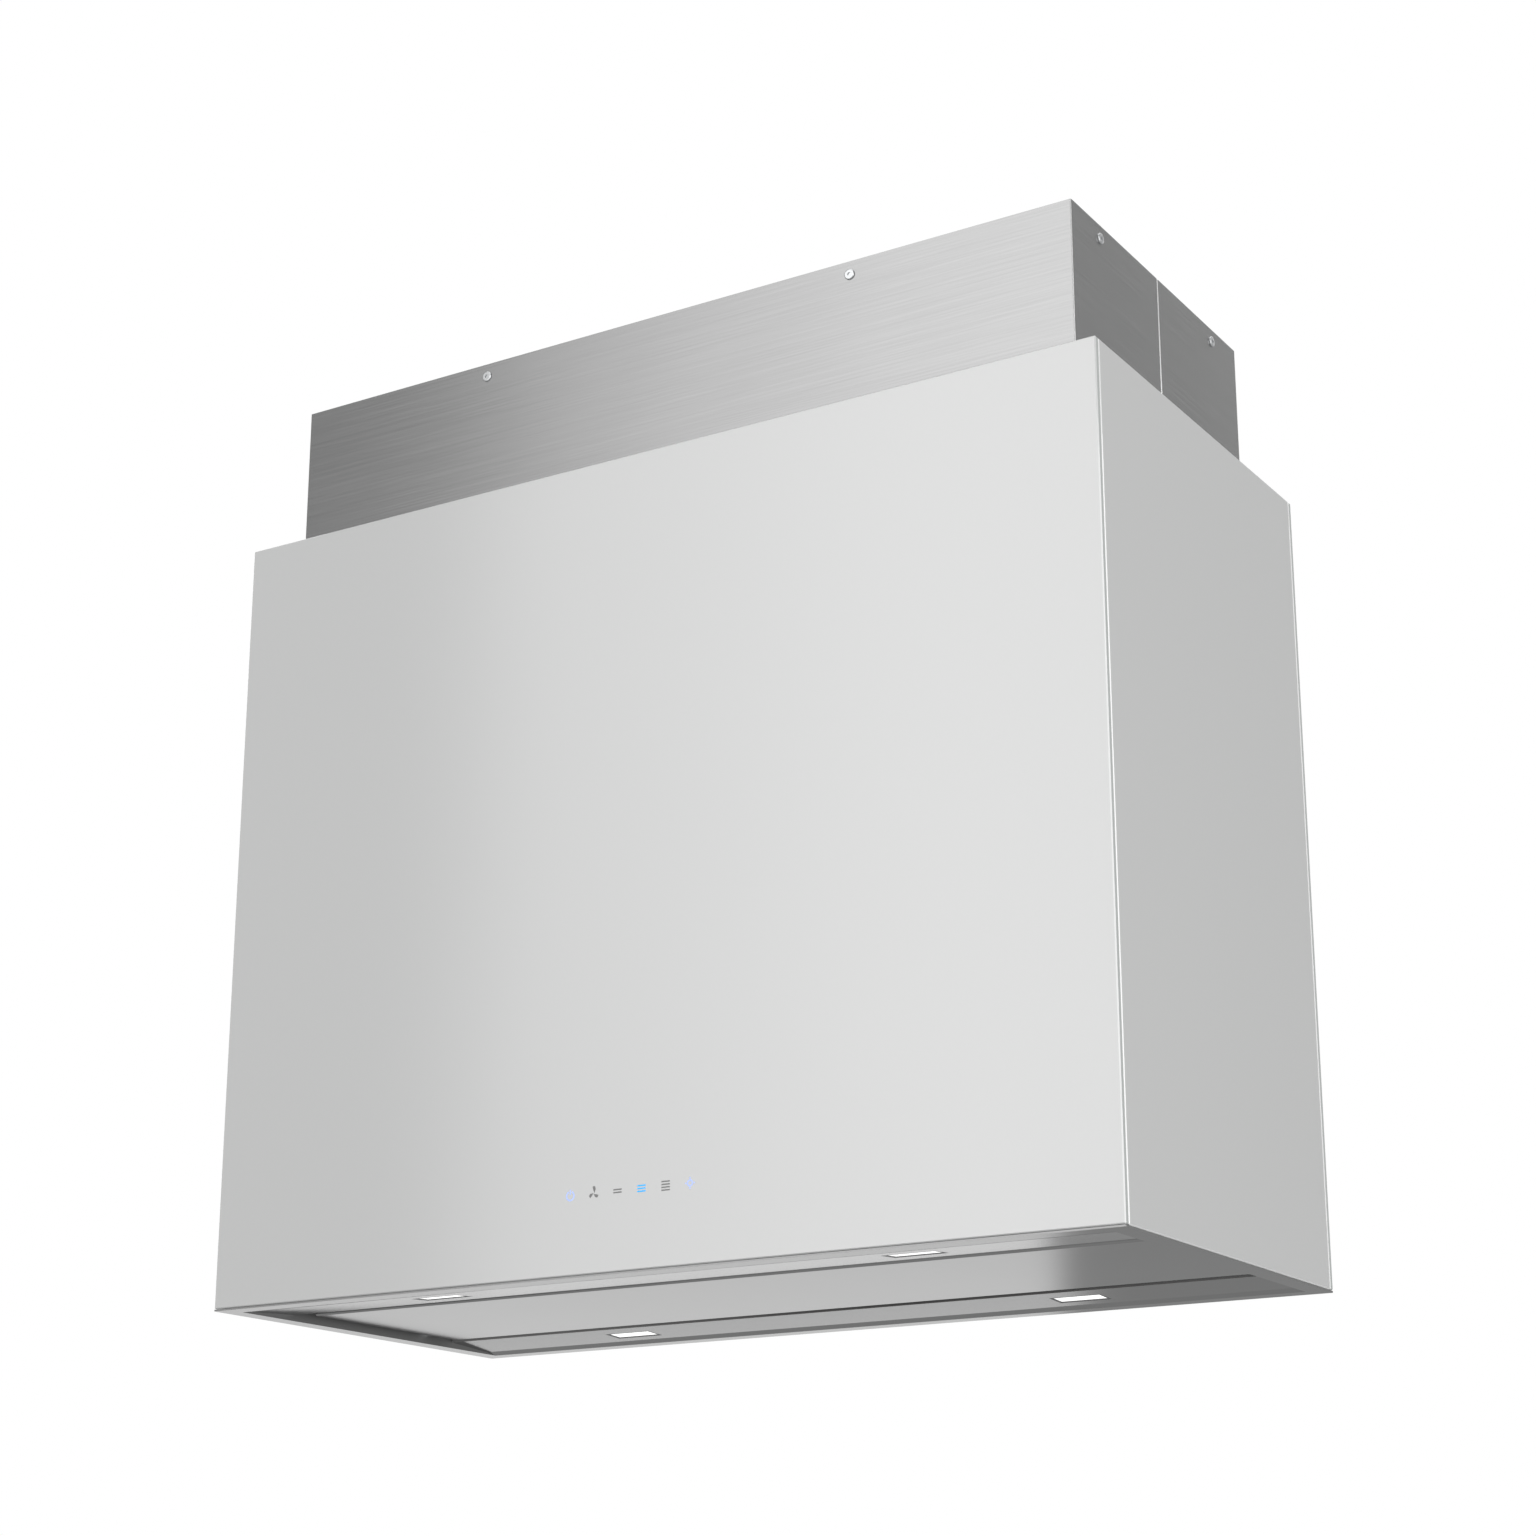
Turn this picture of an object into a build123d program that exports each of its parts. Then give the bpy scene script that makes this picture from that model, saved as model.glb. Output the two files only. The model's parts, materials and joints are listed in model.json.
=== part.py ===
from build123d import *
import math
import os

# Island range hood hung from the ceiling. Millimetres, +Z up, the front is -Y and the right is +X.
# The origin is the centre of the ceiling bolt pattern, so the whole object lies below Z = 0.

# ---------------------------------------------------------------- driving dimensions
SHELL_W = 900.0  # glass body, outside
SHELL_D = 416.0
SHELL_H = 733.0
GLASS_T = 6.0
GLASS_CHAMFER = 1.0
GLASS_JOINT = 0.5  # open joint between neighbouring glass panels and above the rim
TAPE_T = 1.5  # bonding tape between the glass and the casing
CASING_T = 1.2

CHIMNEY_W = 832.0  # sheath, outside
CHIMNEY_D = 348.0
CHIMNEY_T = 1.0
CHIMNEY_SHOWN = 150.0  # length in sight as hung
CHIMNEY_LAP = 40.0  # length still inside the glass body when it is lowered all the way
CHIMNEY_BEND_R = 1.6
SEAM = 0.6  # open seam between the two halves of the sheath
SEAM_CHAMFER = 0.8  # broken edge along the seam

RAISE = 90.0  # height adjustment of the hood body, from the height as hung
LOWER = 150.0

PLATE_T = 2.0  # ceiling plate
PLATE_FLANGE = 25.0
BOLT_SPACING_X = 600.0
BOLT_SPACING_Y = 220.0
BOLT_HOLE_R = 4.5
DUCT_HOLE_R = 85.0
CABLE_HOLE_R = 12.5
CABLE_HOLE_X = 340.0

SCREW_DROP = 13.0  # sheath screws below the sheath's top edge
SCREW_FRONT_X = 199.0
SCREW_SIDE_Y = 118.0
SHEATH_HEAD_R = 5.0

LEG_X = 230.0  # outer corner of the telescopic legs
LEG_Y = 140.0
LEG_SIDE = 30.0
LEG_T = 2.0
LEG_GAP = 0.3  # between the nested legs
UPPER_LEG_L = 320.0
LOWER_LEG_L = 315.0
SLOT_END = 14.0
SLOT_R = 3.3
SLOT_TOP_DROP = 26.0  # closed top end of the slot below the ceiling plate
CLAMP_BOLT_R = 3.0
CLAMP_HEX_R = 5.8
FOOT_REACH = 18.0  # foot of a leg past the leg's flange
FOOT_D = 24.0
FOOT_HOLE_R = 2.6
FOOT_SCREW_X = LEG_X - LEG_SIDE - 8.0
FOOT_SCREW_Y = LEG_Y - 12.0
TAPPED_HOLE_R = 2.5
CLAMP_X = LEG_X - LEG_SIDE / 2 - 1.0
CLAMP_BOLT_DROPS = (20.0, 45.0)  # below the top end of a lower leg

DECK_CLEAR = 13.0  # between the sheath and the fan deck when the hood body is raised all the way
DECK_T = 1.5
DECK_LIP = 20.0
DECK_HOLE_HALF = 67.0  # half side of the square hole between the scroll and the collar
RAIL_H = 20.0
RAIL_W = 34.0
RAIL_L = 810.0
RAIL_T = 2.0

RIM_T = 1.5
RIM_W = 18.0  # flat rim round the recess
RECESS_W = SHELL_W - 2 * RIM_W
RECESS_D = SHELL_D - 2 * RIM_W
RECESS_WALL_H = 56.0
BEVEL_W = 14.0  # narrow bevel beside the rim, then the long slope that holds the lamps
BEVEL_RISE = 2.0
STRIP_RISE = 5.5
STRIP_T = 1.2
CHANNEL_HALF = 118.5  # half depth of the air channel between the two lamp strips

PANEL_W = 840.0
PANEL_D = 211.0
PANEL_H = 12.0
PANEL_T = 1.2
PANEL_EDGE_R = 2.5
HINGE_Y = 80.0
HINGE_RISE = 10.0
HINGE_PIN_R = 2.5
HINGE_BORE_R = 2.6

LAMP_X = 237.5
LAMP_Y = 150.0
LENS_W = 46.0
LENS_D = 20.0
BEZEL_EDGE = 2.0
BEZEL_H = 12.0
LENS_RECESS = 0.8

FILTER_RISE = 58.0  # underside of the grease filters above the bottom of the shell
FILTER_W = 424.0
FILTER_FRONT = -110.0  # the front edge hangs on its latch, the rear edge on the rear ledge
FILTER_REAR = 115.0
FILTER_H = 9.0
FILTER_GAP = 4.0
FILTER_BORDER = 14.0
LEDGE_EDGE = 110.5  # inner edge of the ledges that carry the filters
LATCH_TRAVEL = 7.0
LATCH_HALF_W = 12.0

AXIS_RISE = 262.0  # fan axis above the bottom of the shell
IMPELLER_R = 100.0
BLADE_DEPTH = 18.0
BLADE_T = 1.0
BLADES = 40
IMPELLER_L = 130.0
SCROLL_T = 1.2
SCROLL_HALF = 70.0  # half width of the scroll, inside
SCROLL_R = 113.0  # smallest arc of the scroll
SCROLL_STEP = 18.0  # each quarter turn's arc is larger by this
TONGUE_X = 20.0  # throat side of the outlet, from the fan axis
INLET_R = 82.0
SHAFT_R = 6.0
SHAFT_BORE_R = 6.05
MOTOR_R = 45.0
SPIDER_T = 2.5

COLLAR_R = 75.0  # outside radius that the duct slides over
COLLAR_T = 1.5
COLLAR_H = 90.0
FLAP_RISE = 14.0
FLAP_T = 1.0
FLAP_R = 72.0
FLAP_PIN_R = 2.0

ICON_RISE = 69.0  # touch control above the bottom of the shell
ICON_XS = (-60.0, -36.0, -12.0, 12.0, 36.0, 60.0)

BOX_X = (250.0, 390.0)  # control box on the deck
BOX_HALF_D = 50.0
BOX_H = 42.0
BOX_T = 1.2
GLAND_RISE = 22.0
GLAND_THREAD_R = 8.0
GLAND_BORE_R = 4.5

# ---------------------------------------------------------------- levels worked out from them
SHELL_TOP = -CHIMNEY_SHOWN
SHELL_BOTTOM = SHELL_TOP - SHELL_H
CHIMNEY_L = CHIMNEY_SHOWN + LOWER + CHIMNEY_LAP
DECK_TOP = -(CHIMNEY_L + RAISE + DECK_CLEAR)
DECK_UNDER = DECK_TOP - DECK_T
GLASS_BOTTOM = SHELL_BOTTOM + RIM_T + GLASS_JOINT
CASING_HALF_W = SHELL_W / 2 - GLASS_T - TAPE_T
CASING_HALF_D = SHELL_D / 2 - GLASS_T - TAPE_T
CLOSING_TOP = SHELL_TOP - 3.0
CLOSING_T = 1.2
CASING_TOP = CLOSING_TOP - CLOSING_T
LOWER_LEG_BOTTOM = DECK_TOP + RAIL_H
LOWER_LEG_TOP = LOWER_LEG_BOTTOM + LOWER_LEG_L
NECK_OUTER = SCROLL_R + 2 * SCROLL_STEP + SCROLL_STEP / 2
FAN_X = -(TONGUE_X + NECK_OUTER) / 2  # puts the outlet on the hood's centre line
AXIS_Z = SHELL_BOTTOM + AXIS_RISE
FLAP_Z = DECK_TOP + FLAP_RISE
PANEL_BOTTOM = SHELL_BOTTOM + STRIP_RISE
HINGE_Z = SHELL_BOTTOM + HINGE_RISE
FILTER_BOTTOM = SHELL_BOTTOM + FILTER_RISE
STRIP_RUN = RECESS_D / 2 - BEVEL_W - CHANNEL_HALF
STRIP_TILT = math.degrees(math.atan((STRIP_RISE - BEVEL_RISE) / STRIP_RUN))


# ---------------------------------------------------------------- shared shapes
def block(x, y, z):
    """A box from (low, high) pairs along X, Y and Z."""
    centre = [(a + b) / 2 for a, b in (x, y, z)]
    return Pos(*centre) * Box(x[1] - x[0], y[1] - y[0], z[1] - z[0])


def around(half):
    return (-half, half)


def shrunk(pair, margin):
    return (pair[0] + margin, pair[1] - margin)


def rod(radius, start, length, axis="Z"):
    """A cylinder that starts at a point and runs along +X, +Y or +Z."""
    turn = {"X": Rot(0, 90, 0), "Y": Rot(-90, 0, 0), "Z": Rot(0, 0, 0)}[axis]
    return Pos(*start) * turn * Cylinder(radius, length, align=(Align.CENTER, Align.CENTER, Align.MIN))


def pipe(outer, inner, start, length, axis="Z"):
    return rod(outer, start, length, axis) - rod(inner, start, length, axis)


def mirrored(shape):
    """The shape turned front to rear."""
    return mirror(shape, about=Plane.XZ)


def swapped(shape):
    """The shape turned left to right."""
    return mirror(shape, about=Plane.YZ)


def group(shapes):
    """Several loose solids that share one node."""
    return Compound(children=[solid for shape in shapes for solid in shape.solids()])


def screw(head_r, head_h, shank_r, length, socket_r=1.6):
    """A pan head screw: the head's seat is at Z = 0, the shank runs down, the drive recess is on top."""
    head = fillet(rod(head_r, (0, 0, 0), head_h).edges().sort_by(Axis.Z)[-1], head_h * 0.6)
    recess = rod(socket_r, (0, 0, head_h * 0.4), head_h)
    return head - recess + rod(shank_r, (0, 0, -length), length)


# ---------------------------------------------------------------- ceiling bracket and telescopic frame
def ceiling_plate():
    """Pressed plate with a turned-down flange that the sheath is screwed to."""
    half_w = CHIMNEY_W / 2 - CHIMNEY_T - LEG_GAP
    half_d = CHIMNEY_D / 2 - CHIMNEY_T - LEG_GAP
    pan = block(around(half_w), around(half_d), (-PLATE_FLANGE, 0))
    pan = fillet(pan.edges().filter_by(Axis.Z), 2.0)
    inside = block(around(half_w - PLATE_T), around(half_d - PLATE_T), (-PLATE_FLANGE, -PLATE_T))
    pan -= inside
    pan -= rod(DUCT_HOLE_R, (0, 0, -PLATE_T), PLATE_T)
    pan -= rod(CABLE_HOLE_R, (CABLE_HOLE_X, 0, -PLATE_T), PLATE_T)
    for x in around(BOLT_SPACING_X / 2):
        for y in around(BOLT_SPACING_Y / 2):
            pan -= rod(BOLT_HOLE_R, (x, y, -PLATE_T), PLATE_T)
    for place in sheath_screw_places():
        pan -= place * rod(2.1, (0, 0, -8), 16)
    for x, y in foot_screw_points():
        pan -= rod(TAPPED_HOLE_R, (x, y, -PLATE_T), PLATE_T)
    return pan


def sheath_screw_places():
    """Where the eight sheath screws sit: their own Z points out of the sheath."""
    z = -SCREW_DROP
    places = []
    for x in around(SCREW_FRONT_X):
        places.append(Pos(x, -CHIMNEY_D / 2, z) * Rot(90, 0, 0))
        places.append(Pos(x, CHIMNEY_D / 2, z) * Rot(-90, 0, 0))
    for y in around(SCREW_SIDE_Y):
        places.append(Pos(CHIMNEY_W / 2, y, z) * Rot(0, 90, 0))
        places.append(Pos(-CHIMNEY_W / 2, y, z) * Rot(0, -90, 0))
    return places


def chimney_screws():
    """Pan head screws that hold the sheath to the flange of the ceiling plate."""
    fastener = screw(SHEATH_HEAD_R, 1.6, 2.0, CHIMNEY_T + LEG_GAP + PLATE_T)
    return group([place * fastener for place in sheath_screw_places()])


def seam_edges(half):
    """The two upright outer edges of a sheath half, one at each side's seam."""
    upright = half.edges().filter_by(Axis.Z)
    outer = [edge for edge in upright if abs(abs(edge.center().X) - CHIMNEY_W / 2) < 0.01]
    return [edge for edge in outer if abs(abs(edge.center().Y) - SEAM / 2) < 0.01]


def chimney_half(front):
    """One U-shaped half of the brushed sheath. The rear half carries the lap strips behind the seam."""
    z = (-CHIMNEY_L, 0)
    outside = block(around(CHIMNEY_W / 2), around(CHIMNEY_D / 2), z)
    outside = fillet(outside.edges().filter_by(Axis.Z), CHIMNEY_BEND_R)
    inside = block(around(CHIMNEY_W / 2 - CHIMNEY_T), around(CHIMNEY_D / 2 - CHIMNEY_T), z)
    inside = fillet(inside.edges().filter_by(Axis.Z), CHIMNEY_BEND_R - CHIMNEY_T)
    sheath = outside - inside
    for place in sheath_screw_places():
        sheath -= place * rod(2.3, (0, 0, -3), 6)
    keep = (-CHIMNEY_D / 2 - 1, -SEAM / 2) if front else (SEAM / 2, CHIMNEY_D / 2 + 1)
    half = sheath & block(around(CHIMNEY_W / 2 + 1), keep, z)
    half = chamfer(seam_edges(half), SEAM_CHAMFER)
    if not front:
        face = CHIMNEY_W / 2 - CHIMNEY_T
        lap = block((face - 1, face), (-12, 14), (-CHIMNEY_L, -PLATE_FLANGE - 3))
        half = half + lap + swapped(lap)
    return half


def leg_section(corner_x, corner_y, side, z):
    """An L section in the +X +Y corner, its flanges running back towards the middle."""
    along_x = block((corner_x - side, corner_x), (corner_y - LEG_T, corner_y), z)
    along_y = block((corner_x - LEG_T, corner_x), (corner_y - side, corner_y), z)
    return along_x + along_y


def foot_screw_points():
    """Screw points of the leg feet, seen from above."""
    return [(x, y) for x in around(FOOT_SCREW_X) for y in around(FOOT_SCREW_Y)]


def upper_leg_pair():
    """Two legs of the right side hung from the ceiling plate, joined by a welded cross bar."""
    z = (-PLATE_T - UPPER_LEG_L, -PLATE_T)
    leg = leg_section(LEG_X, LEG_Y, LEG_SIDE, z)
    ends = (z[0] + SLOT_END + SLOT_R, z[1] - SLOT_TOP_DROP - SLOT_R)
    slot = block((CLAMP_X - SLOT_R, CLAMP_X + SLOT_R), (LEG_Y - 5, LEG_Y + 5), ends)
    for end in ends:
        slot += rod(SLOT_R, (CLAMP_X, LEG_Y - 5, end), 10, "Y")
    leg -= slot
    foot_x = (LEG_X - LEG_SIDE - FOOT_REACH, LEG_X)
    foot = block(foot_x, (LEG_Y - FOOT_D, LEG_Y), (-PLATE_T - LEG_T, -PLATE_T))
    foot -= rod(FOOT_HOLE_R, (FOOT_SCREW_X, FOOT_SCREW_Y, -PLATE_T - 5), 8)
    leg += foot
    bar = block((LEG_X - LEG_T, LEG_X), around(LEG_Y - LEG_SIDE), (-60, -35))
    return leg + mirrored(leg) + bar


def foot_screws():
    """Screws up through the feet of the upper legs into the ceiling plate."""
    turned = Rot(180, 0, 0) * screw(4.5, 2.4, 2.4, LEG_T + PLATE_T)
    return group([Pos(x, y, -PLATE_T - LEG_T) * turned for x, y in foot_screw_points()])


def lower_leg_pair():
    """Two legs of the right side that stand on the deck rails and nest inside the upper legs."""
    corner_x = LEG_X - LEG_T - LEG_GAP
    corner_y = LEG_Y - LEG_T - LEG_GAP
    side = LEG_SIDE - LEG_T - LEG_GAP
    leg = leg_section(corner_x, corner_y, side, (LOWER_LEG_BOTTOM, LOWER_LEG_TOP))
    for drop in CLAMP_BOLT_DROPS:
        leg -= rod(SLOT_R, (CLAMP_X, LEG_Y - 8, LOWER_LEG_TOP - drop), 12, "Y")
    foot_z = (LOWER_LEG_BOTTOM, LOWER_LEG_BOTTOM + LEG_T)
    foot = block((LEG_X - LEG_SIDE - FOOT_REACH, corner_x), (LEG_Y - FOOT_D, corner_y), foot_z)
    foot -= rod(FOOT_HOLE_R, (FOOT_SCREW_X, FOOT_SCREW_Y, LOWER_LEG_BOTTOM - 1), 5)
    leg += foot
    bar_z = (LOWER_LEG_BOTTOM + 30, LOWER_LEG_BOTTOM + 55)
    bar = block((corner_x - LEG_T, corner_x), around(LEG_Y - LEG_SIDE), bar_z)
    return leg + mirrored(leg) + bar


def leg_clamp_bolts():
    """Bolts with nuts that clamp each pair of nested legs. They travel in the slots of the upper legs."""
    bolts = []
    seat = LEG_Y + LEG_GAP
    inner_face = LEG_Y - 2 * LEG_T - LEG_GAP
    for drop in CLAMP_BOLT_DROPS:
        z = LOWER_LEG_TOP - drop
        head = Pos(CLAMP_X, seat, z) * Rot(-90, 0, 0) * extrude(RegularPolygon(CLAMP_HEX_R, 6), 4.0)
        nut = Pos(CLAMP_X, inner_face, z) * Rot(90, 0, 0) * extrude(RegularPolygon(CLAMP_HEX_R, 6), 5.0)
        shank = rod(CLAMP_BOLT_R, (CLAMP_X, inner_face - 9, z), seat - inner_face + 9, "Y")
        bolts.append(head + nut + shank)
    bolts += [mirrored(bolt) for bolt in bolts]
    bolts += [swapped(bolt) for bolt in bolts]
    return group(bolts)


def deck_rail():
    """Channel along the rear of the deck, on which the two rear legs stand."""
    y = (LEG_Y - RAIL_W + 8, LEG_Y + 8)
    rail = block(around(RAIL_L / 2), y, (DECK_TOP, DECK_TOP + RAIL_H))
    hollow = (y[0] + RAIL_T, y[1] - RAIL_T)
    rail -= block(around(RAIL_L / 2), hollow, (DECK_TOP, DECK_TOP + RAIL_H - RAIL_T))
    for x in around(FOOT_SCREW_X):
        rail -= rod(TAPPED_HOLE_R, (x, FOOT_SCREW_Y, DECK_TOP + RAIL_H - 4), 6)
    return rail


def rail_screws():
    """Screws through the feet of the lower legs into the deck rails."""
    fastener = screw(4.5, 2.4, 2.4, LEG_T + RAIL_T)
    return group([Pos(x, y, LOWER_LEG_BOTTOM + LEG_T) * fastener for x, y in foot_screw_points()])


# ---------------------------------------------------------------- glass body
def glass_panel(x, y):
    """A flat panel with polished, chamfered edges."""
    panel = block(x, y, (GLASS_BOTTOM, SHELL_TOP))
    return chamfer(panel.edges(), GLASS_CHAMFER)


def rear_glass():
    return glass_panel(around(SHELL_W / 2), (SHELL_D / 2 - GLASS_T, SHELL_D / 2))


def right_glass():
    return glass_panel((SHELL_W / 2 - GLASS_T, SHELL_W / 2), around(SHELL_D / 2 - GLASS_T - GLASS_JOINT))


def glass_bonding_tapes():
    """Foam tape strips that bond the glass panels to the casing."""
    z = (GLASS_BOTTOM + 20, SHELL_TOP - 20)
    y = (CASING_HALF_D, CASING_HALF_D + TAPE_T)
    strips = []
    for x in (-425, -215, 0, 215, 425):
        low = 110 if x == 0 else 20  # the middle strip starts above the touch control
        strips.append(block((x - 6, x + 6), y, (GLASS_BOTTOM + low, z[1])))
    strips += [mirrored(strip) for strip in strips]
    for y in (-170, 0, 170):
        strip = block((CASING_HALF_W, CASING_HALF_W + TAPE_T), (y - 6, y + 6), z)
        strips += [strip, swapped(strip)]
    return group(strips)


def casing_half(front):
    """U-shaped half of the sheet steel casing, with a window behind the touch control in the front."""
    z = (GLASS_BOTTOM, CASING_TOP)
    outside = block(around(CASING_HALF_W), around(CASING_HALF_D), z)
    inside = block(around(CASING_HALF_W - CASING_T), around(CASING_HALF_D - CASING_T), z)
    keep = (-CASING_HALF_D - 1, 0) if front else (0, CASING_HALF_D + 1)
    half = (outside - inside) & block(around(CASING_HALF_W + 1), keep, z)
    if front:
        centre = SHELL_BOTTOM + ICON_RISE
        half -= block(around(84), (-CASING_HALF_D - 1, -CASING_HALF_D + 3), (centre - 20, centre + 20))
    return half


def top_closing_frame():
    """Flat ring that closes the gap between the glass and the sheath, with a turned-down inner lip."""
    clear = 3.0
    half_w = SHELL_W / 2 - GLASS_T - GLASS_JOINT
    half_d = SHELL_D / 2 - GLASS_T - GLASS_JOINT
    hole_w = CHIMNEY_W / 2 + clear
    hole_d = CHIMNEY_D / 2 + clear
    ring = block(around(half_w), around(half_d), (CASING_TOP, CLOSING_TOP))
    lip = block(around(hole_w + CLOSING_T), around(hole_d + CLOSING_T), (CASING_TOP - 12, CLOSING_TOP))
    return ring + lip - block(around(hole_w), around(hole_d), (CASING_TOP - 12, CLOSING_TOP))


# ---------------------------------------------------------------- underside
def bottom_rim():
    """Flat stainless rim under the glass, with upright walls round the recess."""
    ring = block(around(SHELL_W / 2), around(SHELL_D / 2), (SHELL_BOTTOM, SHELL_BOTTOM + RIM_T))
    ring = fillet(ring.edges().filter_by(Axis.Z), 1.0)
    ring -= block(around(RECESS_W / 2), around(RECESS_D / 2), (SHELL_BOTTOM, SHELL_BOTTOM + RIM_T))
    x = (RECESS_W / 2, RECESS_W / 2 + STRIP_T)
    side = block(x, around(RECESS_D / 2 + STRIP_T), (SHELL_BOTTOM, SHELL_BOTTOM + RECESS_WALL_H))
    side -= rod(HINGE_BORE_R, (RECESS_W / 2 - 1, HINGE_Y, HINGE_Z), 4, "X")
    wall_top = SHELL_BOTTOM + RECESS_WALL_H
    side += block((RECESS_W / 2 - 6, RECESS_W / 2), around(LEDGE_EDGE), (wall_top - STRIP_T, wall_top))
    upstand_y = (RECESS_D / 2, RECESS_D / 2 + STRIP_T)
    upstand = block(around(RECESS_W / 2), upstand_y, (SHELL_BOTTOM, SHELL_BOTTOM + 10))
    return ring + side + swapped(side) + upstand + mirrored(upstand)


def lamp_strip():
    """Rear strip: a bevel beside the rim, the long slope with two lamp openings, then an upright wall."""
    edge = RECESS_D / 2
    low = SHELL_BOTTOM
    outline = [
        (edge, low),
        (edge - BEVEL_W, low + BEVEL_RISE),
        (CHANNEL_HALF, low + STRIP_RISE),
        (CHANNEL_HALF, low + RECESS_WALL_H),
        (CHANNEL_HALF + STRIP_T, low + RECESS_WALL_H),
        (CHANNEL_HALF + STRIP_T, low + STRIP_RISE + STRIP_T),
        (edge - BEVEL_W, low + BEVEL_RISE + STRIP_T),
        (edge, low + STRIP_T),
    ]
    face = Plane.YZ * make_face(Polyline(*outline, close=True))
    strip = extrude(face, RECESS_W / 2, both=True)
    for x in around(LAMP_X):
        opening = Box(LENS_W + 2 * BEZEL_EDGE, LENS_D + 2 * BEZEL_EDGE, 20)
        strip -= lamp_place(x) * opening
    return strip


def lamp_place(x):
    """Centre of a rear lamp on the strip's lower face, tilted with the strip."""
    z = SHELL_BOTTOM + STRIP_RISE - (LAMP_Y - CHANNEL_HALF) * math.tan(math.radians(STRIP_TILT))
    return Pos(x, LAMP_Y, z) * Rot(-STRIP_TILT, 0, 0)


def lamp_bezels():
    """Dark frames of the four lamps, each a small open box with the lens set into its mouth."""
    outer = (LENS_W / 2 + BEZEL_EDGE, LENS_D / 2 + BEZEL_EDGE)
    body = block(around(outer[0] - 0.1), around(outer[1] - 0.1), (0, BEZEL_H))
    body -= block(around(LENS_W / 2), around(LENS_D / 2), (0, BEZEL_H - 1.5))
    bezels = [lamp_place(x) * body for x in around(LAMP_X)]
    return group(bezels + [mirrored(bezel) for bezel in bezels])


def lamp_lenses():
    """Four frosted lenses, set back inside their bezels."""
    pane = block(around(LENS_W / 2), around(LENS_D / 2), (LENS_RECESS, LENS_RECESS + 2.0))
    lenses = [lamp_place(x) * pane for x in around(LAMP_X)]
    return group(lenses + [mirrored(lens) for lens in lenses])


def hinge_bushings():
    """Flanged bushings outside the recess walls, which carry the panel's hinge pins."""
    x = RECESS_W / 2 + STRIP_T
    bushing = pipe(7.0, HINGE_BORE_R, (x, HINGE_Y, HINGE_Z), 6.0, "X")
    return group([bushing, swapped(bushing)])


def catch_magnets():
    """Two magnets on angle brackets that hold the panel's front edge up."""
    top = PANEL_BOTTOM + PANEL_H
    y = (-HINGE_Y - 12, -HINGE_Y + 12)
    arm = block((RECESS_W / 2 - 32, RECESS_W / 2), y, (top + 6.0, top + 7.5))
    tab = block((RECESS_W / 2 - 1.5, RECESS_W / 2), y, (top + 6.0, top + 22.0))
    magnet = block((RECESS_W / 2 - 30, RECESS_W / 2 - 14), y, (top + 1.4, top + 6.0))
    catch = arm + tab + magnet
    return group([catch, swapped(catch)])


def suction_panel():
    """Shallow pan with rounded lower edges; air is drawn in round its perimeter."""
    z = (PANEL_BOTTOM, PANEL_BOTTOM + PANEL_H)
    pan = block(around(PANEL_W / 2), around(PANEL_D / 2), z)
    pan = fillet(pan.edges().filter_by(Axis.Z), PANEL_EDGE_R)
    pan = fillet(pan.edges().group_by(Axis.Z)[0], PANEL_EDGE_R)
    inside = block(around(PANEL_W / 2 - PANEL_T), around(PANEL_D / 2 - PANEL_T), (z[0] + PANEL_T, z[1]))
    inside = fillet(inside.edges().filter_by(Axis.Z), PANEL_EDGE_R - PANEL_T)
    inside = fillet(inside.edges().group_by(Axis.Z)[0], PANEL_EDGE_R - PANEL_T)
    pan -= inside
    hole = rod(HINGE_PIN_R, (PANEL_W / 2 - 3, HINGE_Y, HINGE_Z), 6, "X")
    return pan - hole - swapped(hole)


def panel_backing():
    """Inner tray that stiffens the panel and closes its back, with two raised strike plates."""
    z = (PANEL_BOTTOM + PANEL_T, PANEL_BOTTOM + PANEL_H)
    half_w = PANEL_W / 2 - PANEL_T
    half_d = PANEL_D / 2 - PANEL_T
    tray = block(around(half_w), around(half_d), (z[1] - PANEL_T, z[1]))
    tray = fillet(tray.edges().filter_by(Axis.Z), PANEL_EDGE_R - PANEL_T)
    for y in (-66.0, -54.0, -6.0, 6.0, 54.0, 66.0):
        tray += block(around(half_w - 20), (y - PANEL_T / 2, y + PANEL_T / 2), (z[0], z[1] - PANEL_T))
    strike = block((PANEL_W / 2 - 20, PANEL_W / 2 - 2), (-HINGE_Y - 12, -HINGE_Y + 12), (z[1], z[1] + 1.0))
    return tray + strike + swapped(strike)


def panel_hinge_pins():
    """Short pins that stand out of the panel's ends."""
    start = PANEL_W / 2 - PANEL_T - 6
    pin = rod(HINGE_PIN_R, (start, HINGE_Y, HINGE_Z), RECESS_W / 2 + STRIP_T + 5 - start, "X")
    return group([pin, swapped(pin)])


# ---------------------------------------------------------------- grease filters
def filter_rail():
    """Rear ledge that carries the filters, fixed to the upright wall of the lamp strip."""
    wall = CHANNEL_HALF + STRIP_T
    x = around(RECESS_W / 2 - 2)
    flat = block(x, (LEDGE_EDGE, wall + 12), (FILTER_BOTTOM - 1.6, FILTER_BOTTOM - 0.2))
    tall = block(x, (wall, wall + 1.4), (FILTER_BOTTOM - 30, FILTER_BOTTOM - 1.6))
    return flat + tall


def filter_centre_x():
    return (FILTER_W + FILTER_GAP) / 2


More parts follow.
